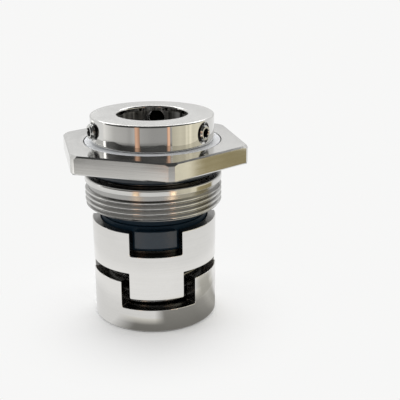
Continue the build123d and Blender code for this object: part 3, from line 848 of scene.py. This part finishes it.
last_turn = FULL_TURN * SPRING_TURNS
around = np.linspace(0, FULL_TURN, SPRING_SIDES + 1)
turn = np.linspace(0, last_turn, round(SPRING_STEPS * SPRING_TURNS) + 1)
middle, off, _ = coil(*np.meshgrid(turn, around, indexing="ij"))
spring_grids = [((middle + SPRING_WIRE / 2 * off) * MM, off)]
size = np.array([1, 0.5, 0])[:, None, None] * SPRING_WIRE / 2
for end, side in ((0.0, -1), (last_turn, 1)):
    middle, off, onward = coil(np.full((3, SPRING_SIDES + 1), end), np.tile(around, (3, 1)))
    spring_grids.append(((middle + size * off) * MM, side * onward))
spring = joined("coil_spring", spring_grids)
spring.data.materials.append(shade_darkened_wire_steel)
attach(spring, "rotor")
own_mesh(spring)
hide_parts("spring")

# ---- Upper driver -------------------------------------------------------------------------
# A ring turned and milled from bar. Its slots take the rotary ring's lugs, its tongues reach down
# into the lower driver, and a shelf inside it rests on the spring.

UPPER_Z = 19.4
UPPER_TOP_Z = 32.6
UPPER_SLOT_Z = 25.1
UPPER_SLOT_HALF = math.radians(48.3 / 2)
TONGUE_HALF = math.radians(50.2 / 2)
TONGUE_Z = 11.0
TONGUE_CORNER = 0.5
ROOT_CORNER = 0.2
RIM_BORE_R = 17.25
RING_BORE_R = 13.6

line, *wall = step_line(-UPPER_SLOT_HALF, UPPER_TOP_Z, UPPER_SLOT_Z, EDGE_BREAK, SLOT_CORNER, 1, COUNTS)
rim, upper_border, rim_a = castellation(line, *wall, True, RIM_BORE_R, UPPER_SLOT_Z)
line, *wall = step_line(-TONGUE_HALF, UPPER_Z, TONGUE_Z, ROOT_CORNER, TONGUE_CORNER, -1, COUNTS)
tongue, lower_border, bore_a = castellation(line, *wall, False, DRIVER_BORE_R, SHELF_Z)
shelf = outline([(RIM_BORE_R, UPPER_SLOT_Z), (RING_BORE_R, UPPER_SLOT_Z), (RING_BORE_R, SHELF_Z),
                 (DRIVER_BORE_R, SHELF_Z)], closed=False)
half = rim + tongue + [between(lower_border, upper_border, 8), spun_between(shelf, rim_a, bore_a)]
upper_driver = joined("upper_driver_ring", three_times(half, DRIVE_AZIMUTH))
upper_driver.data.materials.append(driver_steel)
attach(upper_driver, "head")
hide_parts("upper_driver")

# ---- Thrust ring, rotary O-ring and rotary ring -------------------------------------------
# The flat steel ring lies on the shelf and backs the O-ring. The rotary ring is sintered silicon
# carbide, ground all over: its top is the running face, and three lugs on it sit in the slots.

ROTARY_R = 16.8
ROTARY_Z = 26.1
FACE_Z = 34.0
SEAL_ROOM_R = 15.5          # room for the O-ring inside the rotary ring's foot
SEAL_ROOM_Z = 29.1
LUG_R = 18.7
LUG_ROOT_R = 16.2
LUG_HALF = math.radians(40.4 / 2)
LUG_Z = (27.5, 33.0)
LUG_CORNER = 0.3
LUG_EDGE = 0.22

thrust = turned("thrust_washer", [(RING_BORE_R, UPPER_SLOT_Z, 0.1), (ROTARY_R, UPPER_SLOT_Z, 0.1),
                                  (ROTARY_R, ROTARY_Z, 0.1), (RING_BORE_R, ROTARY_Z, 0.1)])
# Inside the rim's bore, where it lies deep in the slots, the washer is darkened far down: painted shade.
thrust.data.materials.append(steel("washer_steel", buffed=RIM_BORE_R, painted_shade_inside=0.12))
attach(thrust, "head")
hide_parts("thrust_ring")
o_ring("sliding_seal", middle_r=14.38, wire=2.2, z=27.6, body="head", node="rotary_o_ring")


def carbide(name, colour=(0.007, 0.020, 0.034), polished=LUG_R - 0.02):
    """Ground silicon carbide: slate, with grains a tenth of a millimetre across that shine more or less,
    and the wheel's fine marks round it. Beyond the radius polished, in millimetres, it has a sheen."""
    material, tree, shader = new_material(name)
    ground, grains = marked(tree, 3000.0, buffed=polished), clouded(tree, 0.00012)
    both = mixed(tree, 0.5, ground["Marks"], grains)
    tint = blend(tree, both, shaded(colour, 0.7), shaded(colour, 1.3))
    finished(tree, shader, tint, stretched(tree, both, 0, 1, 0.28, 0.50), both, depth=0.001)
    tree.links.new(ground["Buffed"], shader.inputs["Coat Weight"])
    shader.inputs["Coat Roughness"].default_value = 0.3
    shader.inputs["Specular IOR Level"].default_value = 0.10
    return material


def lug_grids():
    """A block on the ring's side, at azimuth nought. Its front is a grid whose rows bend into the
    rounded corners, and its border rolls over and runs back into the ring."""
    t = np.linspace(0, math.pi / 2, 5)
    corner_a = LUG_CORNER / LUG_R
    left = -LUG_HALF + corner_a
    low, high = LUG_Z[0] + LUG_CORNER, LUG_Z[1] - LUG_CORNER
    flat = np.linspace(left, -left, 25)[1:-1]
    stand = np.linspace(low, high, 9)[1:-1]
    corners = [(left, low, math.pi), (-left, low, 1.5 * math.pi), (-left, high, 0),
               (left, high, 0.5 * math.pi)]
    runs = [(flat, low - LUG_CORNER, 0, -1), (-left + corner_a, stand, 1, 0),
            (flat[::-1], high + LUG_CORNER, 0, 1), (left - corner_a, stand[::-1], -1, 0)]
    line = []
    for (a, z, start), run in zip(corners, runs):
        line.append(np.stack([a + corner_a * np.cos(start + t), z + LUG_CORNER * np.sin(start + t),
                              np.cos(start + t), np.sin(start + t)]))
        line.append(np.stack(np.broadcast_arrays(*run)))
    line = np.concatenate(line + [line[0][:, :1]], 1)
    angle, height, along, rise = line
    rim, edge_a, edge_z = rolled(line, LUG_R, LUG_EDGE)
    reach = np.array([[LUG_R - LUG_EDGE], [LUG_ROOT_R]])
    grids = [rim, on_ring(reach, angle, height, 0, along, rise)]
    share = ((np.concatenate([[low], stand, [high]]) - low) / (high - low))[:, None]
    below = slice(0, 2 * len(t) + len(flat))
    above = slice(below.stop + len(stand), 2 * below.stop + len(stand))
    for radius, a, z, out in ((LUG_R, edge_a, edge_z, 1), (LUG_ROOT_R, angle, height, -1)):
        a, z = (b[below] + share * (b[above][::-1] - b[below]) for b in (a, z))
        grids.append(on_ring(radius, a, z, out, 0, 0))
    return grids


ring_line = outline([(SEAL_ROOM_R, ROTARY_Z, 0.1), (ROTARY_R, ROTARY_Z, 0.3), (ROTARY_R, FACE_Z, 0.4),
                     (RING_BORE_R, FACE_Z, 0.15), (RING_BORE_R, SEAL_ROOM_Z, 0.1),
                     (SEAL_ROOM_R, SEAL_ROOM_Z, 0.2)])
ring_grids = [spun(ring_line, all_round())] + three_times(lug_grids(), DRIVE_AZIMUTH, halves=(1,))
rotary_ring = joined("rotary_face_ring", ring_grids)
slate = carbide("silicon_carbide_ground")
rotary_ring.data.materials.append(slate)
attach(rotary_ring, "head")
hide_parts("rotary_ring")

# ---- Seat ring ----------------------------------------------------------------------------
# The stationary ring, of the same silicon carbide. Its neck is held in the gland's pocket by an
# O-ring, and its flange stands out below the gland to meet the rotary ring's face.

SEAT_R = 16.3
SEAT_NECK_R = 14.9
SEAT_Z = FACE_Z + 0.01      # the film of liquid that the faces run on
SEAT_BACK_Z = 38.1
SEAT_TOP_Z = 42.2
seat = turned("seat_face_ring", [(RING_BORE_R, SEAT_Z, 0.15), (SEAT_R, SEAT_Z, 0.3),
                                 (SEAT_R, SEAT_BACK_Z, 0.2), (SEAT_NECK_R, SEAT_BACK_Z, 0.2),
                                 (SEAT_NECK_R, SEAT_TOP_Z, 0.2), (RING_BORE_R, SEAT_TOP_Z, 0.15)])
seat.data.materials.append(slate)
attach(seat, "gland")
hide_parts("seat_ring")
o_ring("seat_seal", middle_r=16.05, wire=2.3, z=40.15, body="gland", node="seat_o_ring")

# ---- Gland --------------------------------------------------------------------------------
# One piece turned from hexagon bar: a flange with turned-off corners, a groove for the outer
# O-ring, a plain land, a relief and the thread that screws into the pump's cover.

SLOPE = math.sqrt(0.5)      # both parts of a normal that leans by 45 degrees
HEX_SIDE = FULL_TURN / 6
HEX_FLAT = 26.74
HEX_CORNER_R = 30.36
HEX_AZIMUTH = math.radians(-110.3)
HEX_Z = 51.6
HEX_TOP_Z = 57.3
HEX_EDGE = 0.45
HEX_CORNER_TOP_R = 29.51    # where the turned cone on the corners meets the top
HEX_SOFT = 0.25             # rounding of the upright edges between flats and turned corners
FLAT_STEPS = 26
FLAT_MARKS_R = 26.6         # outside this radius the upright faces are the hexagon's flats
FLANGE_SEAM_R = 22.0        # where the flange's level faces pass from hexagonal rows to round ones
THREAD_R = 21.64
THREAD_ROOT_R = 20.69
THREAD_FACE_R = 20.6
THREAD_Z = (37.1, 43.2)
PITCH = 1.65
THREAD_PHASE = 42.875       # height of one crest's middle at the front
CREST_SHARE = 0.566         # share of the crest in what the flanks leave of a pitch
RELIEF_R = 20.64
LAND_Z = (45.1, 47.0)
GROOVE_R = 17.5
GROOVE_TOP_Z = 52.0
POCKET_R = 17.2
SLIP_RECESS_R = 21.5
BUSH_R = 14.28
BUSH_Z = (46.0, 55.5)       # the slip ring's bush, up to its flange


def round_corner(start, corner, end, face, next_face):
    """The two points that round a corner between start and end, and the direction faced at each."""
    return [((1 - share) ** 2 * start + 2 * share * (1 - share) * corner + share ** 2 * end,
             face + share * (next_face - face)) for share in (0.33, 0.67)]


def hexagon_outline():
    """Once round the flange: each flat, a small rounding, the turned-off corner and a rounding again.
    Gives angle, radius and the direction that the side faces at each point."""
    meet = math.acos(HEX_FLAT / HEX_CORNER_R)
    half = HEX_CORNER_R * math.sin(meet)
    slack = HEX_SOFT * math.tan(meet / 2)
    stops = np.linspace(-half + slack, half - slack, FLAT_STEPS + 1)
    line = []
    for flat in HEX_AZIMUTH + np.arange(6) * FULL_TURN / 6:
        following = flat + HEX_SIDE
        side = [HEX_FLAT * ray(flat) + y * beside(flat) for y in stops]
        after = HEX_FLAT * ray(following) + stops[0] * beside(following)
        turns = np.linspace(flat + meet + slack / HEX_CORNER_R, following - meet - slack / HEX_CORNER_R, 5)
        band = HEX_CORNER_R * ray(turns)
        line += [(point, flat) for point in side]
        line += round_corner(side[-1], HEX_CORNER_R * ray(flat + meet), band[0], flat, turns[0])
        line += zip(band, turns)
        line += round_corner(band[-1], HEX_CORNER_R * ray(following - meet), after, turns[-1], following)
    points = np.array([point for point, _ in line + line[:1]])
    faces = np.array([face for _, face in line] + [line[0][1] + FULL_TURN])
    return np.unwrap(np.arctan2(points[:, 1], points[:, 0])), np.hypot(points[:, 0], points[:, 1]), faces


def hexagon_flange(angle, radius, facing):
    """Rows from the top face's outer edge, over the chamfers, down the side and under the flange."""
    sector = (angle - HEX_AZIMUTH + HEX_SIDE / 2) % HEX_SIDE - HEX_SIDE / 2
    chamfer_r = (HEX_FLAT - HEX_EDGE) / np.cos(sector)
    top_r, under_r = np.minimum(chamfer_r, HEX_CORNER_TOP_R), np.minimum(radius, chamfer_r)
    side_z = np.minimum(HEX_TOP_Z - HEX_EDGE, HEX_TOP_Z - (radius - HEX_CORNER_TOP_R))
    under_z = HEX_Z + HEX_EDGE
    nearest_flat = np.round((angle - HEX_AZIMUTH) / HEX_SIDE) * HEX_SIDE + HEX_AZIMUTH
    lean = np.where(HEX_CORNER_TOP_R < chamfer_r, angle, nearest_flat)
    rows = [(top_r, HEX_TOP_Z, lean, 0, 1), (top_r, HEX_TOP_Z, lean, SLOPE, SLOPE),
            (radius, side_z, lean, SLOPE, SLOPE)]
    rows += [(radius, side_z + share * (under_z - side_z), facing, 1, 0) for share in np.linspace(0, 1, 7)]
    rows += [(radius, under_z, lean, SLOPE, -SLOPE), (under_r, HEX_Z, lean, SLOPE, -SLOPE),
             (under_r, HEX_Z, lean, 0, -1)]
    points = [ring_row(angle, r, z) for r, z, _, _, _ in rows]
    return np.array(points), np.array([out * ray(faces) + rise * UP for _, _, faces, out, rise in rows])


def ring_row(angle, radius, height):
    """One row of points round Z, at angles, radii and heights in millimetres."""
    return on_ring(radius, angle, height, 0, 0, 1)[0]


def strip(rows, normals):
    """A grid of rows of points that share one row of normals, or a single normal."""
    points = np.stack(rows)
    return points, np.broadcast_to(normals, points.shape)


def soft_clamp(x, width=0.1):
    """x held between 0 and 1, with its two bends rounded. Also its slope."""
    a, b = np.sqrt(x * x + width * width), np.sqrt((x - 1) ** 2 + width * width)
    return (a - b + 1) / 2, (x / a - (x - 1) / b) / 2


def screw_thread(angle, low, high, crest_r, root_r, pitch, phase, phase_angle, rows_per_pitch, chamfer=0.0):
    """A thread whose rows climb one pitch in a turn. The radius follows the distance to the nearest
    crest: level on the crest, straight down the flank at 60 degrees and level again in the root. A
    chamfer at the foot holds the radius in. Gives a grid that ends level at both heights."""
    flank = (crest_r - root_r) * math.tan(math.radians(30)) / pitch
    crest = CREST_SHARE * (0.5 - flank)
    turns = (angle - phase_angle) / FULL_TURN
    first = math.floor((low - phase) / pitch - turns.max()) - 1
    count = math.ceil((high - low) / pitch) + math.ceil(turns.max() - turns.min()) + 3
    cycle = first + np.arange(count * rows_per_pitch + 1)[:, None] / rows_per_pitch
    z = np.clip(phase + pitch * (cycle + turns), low, high)
    distance = (z - phase) / pitch - turns
    offset = distance - np.round(distance)
    depth, slope = soft_clamp((np.abs(offset) - crest) / flank)
    r = crest_r - (crest_r - root_r) * depth
    lean = -(crest_r - root_r) * slope * np.sign(offset) / (flank * pitch)
    if chamfer:
        limit = crest_r - chamfer + (z - low)
        lean = np.where(limit < r, 1.0, lean)
        r = np.minimum(r, limit)
    return on_ring(r, angle, z, 1, lean * pitch / FULL_TURN / r, -lean)


angle, radius, facing = hexagon_outline()
flange = hexagon_flange(angle, radius, facing)
thread = screw_thread(angle, *THREAD_Z, THREAD_R, THREAD_ROOT_R, PITCH, THREAD_PHASE, FRONT, 16, chamfer=0.9)
inside = outline([(FLANGE_SEAM_R, HEX_TOP_Z), (SLIP_RECESS_R, HEX_TOP_Z, 0.12),
                  (SLIP_RECESS_R, BUSH_Z[1], 0.1), (BUSH_R, BUSH_Z[1]), (BUSH_R, BUSH_Z[0]),
                  (RING_BORE_R, BUSH_Z[0]), (RING_BORE_R, SEAT_TOP_Z), (POCKET_R, SEAT_TOP_Z, 0.1),
                  (POCKET_R, THREAD_Z[0], 0.3), (THREAD_FACE_R, THREAD_Z[0])], closed=False)
neck = outline([(RELIEF_R, THREAD_Z[1]), (RELIEF_R, LAND_Z[0], 0.2), (THREAD_R, LAND_Z[0], 0.12),
                (THREAD_R, LAND_Z[1], 0.6), (GROOVE_R, LAND_Z[1], 0.3), (GROOVE_R, GROOVE_TOP_Z, 0.3),
                (FLANGE_SEAM_R, GROOVE_TOP_Z), (FLANGE_SEAM_R, HEX_Z)], closed=False)
gland_grids = [flange, thread, spun(inside, angle), spun(neck, angle),
               strip([ring_row(angle, FLANGE_SEAM_R, HEX_TOP_Z), flange[0][0]], UP),
               strip([flange[0][-1], ring_row(angle, FLANGE_SEAM_R, HEX_Z)], -UP),
               strip([ring_row(angle, RELIEF_R, THREAD_Z[1]), thread[0][-1]], UP),
               strip([thread[0][0], ring_row(angle, THREAD_FACE_R, THREAD_Z[0])], -UP)]
gland = joined("gland_body", gland_grids)
# Everything inside the thread's crests is darkened: painted shade in the thread's roots, the relief, the
# groove and the bore.
gland_steel = steel("gland_steel", colour=(0.64, 0.635, 0.615), polish=(0.07, 0.16), satin=(0.09, 0.20),
                    depth=0.0014, flats=FLAT_MARKS_R, shading=0.10, grain=0.5, buffed=THREAD_R - 0.04,
                    painted_shade_inside=0.62)
gland.data.materials.append(gland_steel)
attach(gland, "gland")
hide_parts("gland")
o_ring("cover_seal", middle_r=19.5, wire=4.0, z=50.0, body="gland", node="gland_o_ring")

# ---- Slip ring ----------------------------------------------------------------------------
# A flanged bush of white plastic pressed into the flange's recess. It keeps the gland centred on
# the turning sleeve.

SLIP_BORE_R = 13.28
SLIP_R = 21.2


def plastic(name, colour=(0.88, 0.90, 0.93)):
    """Turned white plastic, slightly blue: softer than steel, so its tool marks are coarser and dull."""
    material, tree, shader = new_material(name)
    marks = marked(tree, 2500.0)["Marks"]
    tint = blend(tree, marks, shaded(colour, 0.95), shaded(colour, 1))
    finished(tree, shader, tint, stretched(tree, marks, 0, 1, 0.34, 0.50), marks, depth=0.002)
    return material


slip = turned("slip_bush", [(SLIP_BORE_R, BUSH_Z[0], 0.1), (BUSH_R, BUSH_Z[0], 0.1),
                            (BUSH_R, BUSH_Z[1], 0.1), (SLIP_R, BUSH_Z[1], 0.1), (SLIP_R, HEX_TOP_Z, 0.25),
                            (SLIP_BORE_R, HEX_TOP_Z, 0.1)])
slip.data.materials.append(plastic("white_slip_plastic"))
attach(slip, "gland")
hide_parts("slip_ring")

# ---- Clamp collar -------------------------------------------------------------------------
# A turned ring over the sleeve's end. Three tapped and countersunk radial holes take the set
# screws, and a lip over the sleeve's end is bored for the shaft.

COLLAR_R = 19.25
COLLAR_Z = 57.5
COLLAR_TOP_Z = 65.5
COLLAR_EDGE = 0.6
COLLAR_PANEL = (57.8, 64.9)     # heights between which its outer wall is drilled
INNER_PANEL = (57.8, 64.0)
SCREW_HOLE_R = 2.55
SINK = 0.83                 # countersink's depth on the hole's axis
HOLE_SEAM_R = 14.2          # where the hole's round part ends, near the bore


def sunk_rim(wall_r):
    """A countersink's rim on the wall: the cone's radius at the distance that the wall has there. Each
    depends on the other, so that both are worked out again until they settle."""
    radius = np.full_like(HOLE_TURN, SCREW_HOLE_R)
    for _ in range(12):
        radius = SCREW_HOLE_R + SINK - wall_r + through(wall_r, radius)[0]
    return radius


inner_hole = plain_hole(SCREW_HOLE_R)
outside = drilled(COLLAR_R, *COLLAR_PANEL, sunk_rim, 1)
inside = drilled(SLEEVE_R, *INNER_PANEL, inner_hole, -1)
mouth, mouth_r, _ = through(COLLAR_R, sunk_rim(COLLAR_R))
holes = []
for azimuth in SCREW_AZIMUTHS:
    holes.append(hole_wall(azimuth, [(mouth, mouth_r, SLOPE), (COLLAR_R - SINK, SCREW_HOLE_R, SLOPE)]))
    holes.append(hole_wall(azimuth, [(COLLAR_R - SINK, SCREW_HOLE_R, 0), (HOLE_SEAM_R, SCREW_HOLE_R, 0),
                                     through(SLEEVE_R, inner_hole(SLEEVE_R))]))
top = outline([(COLLAR_R, COLLAR_PANEL[1]), (COLLAR_R, COLLAR_TOP_Z, COLLAR_EDGE),
               (SHAFT_R, COLLAR_TOP_Z, COLLAR_EDGE), (SHAFT_R, SLEEVE_TOP_Z), (SLEEVE_R, SLEEVE_TOP_Z)],
              closed=False)
bottom = outline([(SLEEVE_R, INNER_PANEL[0]), (SLEEVE_R, COLLAR_Z, 0.1), (COLLAR_R, COLLAR_Z, 0.28),
                  (COLLAR_R, COLLAR_PANEL[0])], closed=False)
collar = joined("collar_ring", [spun(top, even), spun(bottom, even)] + outside + inside + holes)
collar_steel = steel("collar_steel", colour=(0.66, 0.655, 0.635), polish=(0.025, 0.06), satin=(0.14, 0.26),
                     depth=0.0004, grain=0.3)
collar.data.materials.append(collar_steel)
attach(collar, "rotor")
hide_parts("clamp_collar")

# ---- Set screws ---------------------------------------------------------------------------
# M5 hexagon-socket set screws with cup points, of hardened stainless steel. They bite on the shaft
# through the sleeve's holes and lock the whole cartridge to it.

SCREW_R = 2.475
SCREW_ROOT_R = 2.02
SCREW_PITCH = 0.8
SCREW_LENGTH = 8.0
SCREW_STEPS = 72            # round the screw
HEAD_CHAMFER = 0.45
SOCKET_HALF = 1.25
SOCKET_MOUTH_R = 1.55
SOCKET_DEPTH = 2.6
SOCKET_CONE = 0.5           # depth of the drill's cone below the socket
POINT_LENGTH = 0.8
POINT_R = 1.5
CUP_R = 1.35
CUP_BREAK = 0.05            # height of the small bevel round the cup's edge
CUP_DEPTH = 1.2
SCREW_PROUD = {"set_screw_1": 1.5, "set_screw_2": 0.7, "set_screw_3": 0.9}


def screw_grids():
    """A screw that stands on Z with its socket at the top, z = 0 at its outer end, in millimetres."""
    angle = all_round(0.0, SCREW_STEPS)
    out = ray(angle)
    sector = (angle + HEX_SIDE / 2) % HEX_SIDE - HEX_SIDE / 2
    socket_r = SOCKET_HALF / np.cos(sector)
    mouth_r = np.maximum(socket_r, SOCKET_MOUTH_R)
    body = screw_thread(angle, POINT_LENGTH - SCREW_LENGTH, -HEAD_CHAMFER, SCREW_R, SCREW_ROOT_R, SCREW_PITCH,
                        phase=-1.0, phase_angle=0.0, rows_per_pitch=12)
    rim = ring_row(angle, SCREW_ROOT_R, 0)
    mouth = ring_row(angle, mouth_r, 0)
    bevel = ring_row(angle, socket_r, socket_r - mouth_r)
    floor = ring_row(angle, socket_r, -SOCKET_DEPTH)
    drill = ring_row(angle, 0, -SOCKET_DEPTH - SOCKET_CONE)
    point = ring_row(angle, POINT_R, CUP_BREAK - SCREW_LENGTH)
    edge = ring_row(angle, CUP_R, -SCREW_LENGTH)
    cup = ring_row(angle, 0, CUP_DEPTH - SCREW_LENGTH)
    walls = -ray(np.round(angle / HEX_SIDE) * HEX_SIDE)
    return [body, strip([body[0][-1], rim], out + UP), strip([rim, mouth], UP),
            strip([mouth, bevel], UP - out), strip([bevel, floor], walls),
            strip([floor, drill], 2 * UP - out),
            strip([body[0][0], point, edge], out - UP), strip([edge, cup], -out - UP)]


# Inside the collar's outside the screw is darkened far down: painted shade in its hole and socket.
screw_steel = steel("screw_steel", colour=(0.62, 0.62, 0.60), polish=(0.06, 0.16), satin=(0.06, 0.16),
                    shading=0.2, buffed=COLLAR_R + 0.35, painted_shade_inside=0.08)
for (name, proud), azimuth in zip(SCREW_PROUD.items(), SCREW_AZIMUTHS):
    place = (Matrix.Translation((0, 0, SCREW_Z * MM)) @ Matrix.Rotation(azimuth, 4, "Z")
             @ Matrix.Rotation(math.pi / 2, 4, "Y"))
    shift = np.array(place @ Vector((0, 0, (COLLAR_R + proud) * MM)))
    screw = joined(name + "_threaded", moved(screw_grids(), np.array(place.to_3x3()), shift))
    screw.data.materials.append(screw_steel)
    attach(screw, name)
    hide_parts(name)
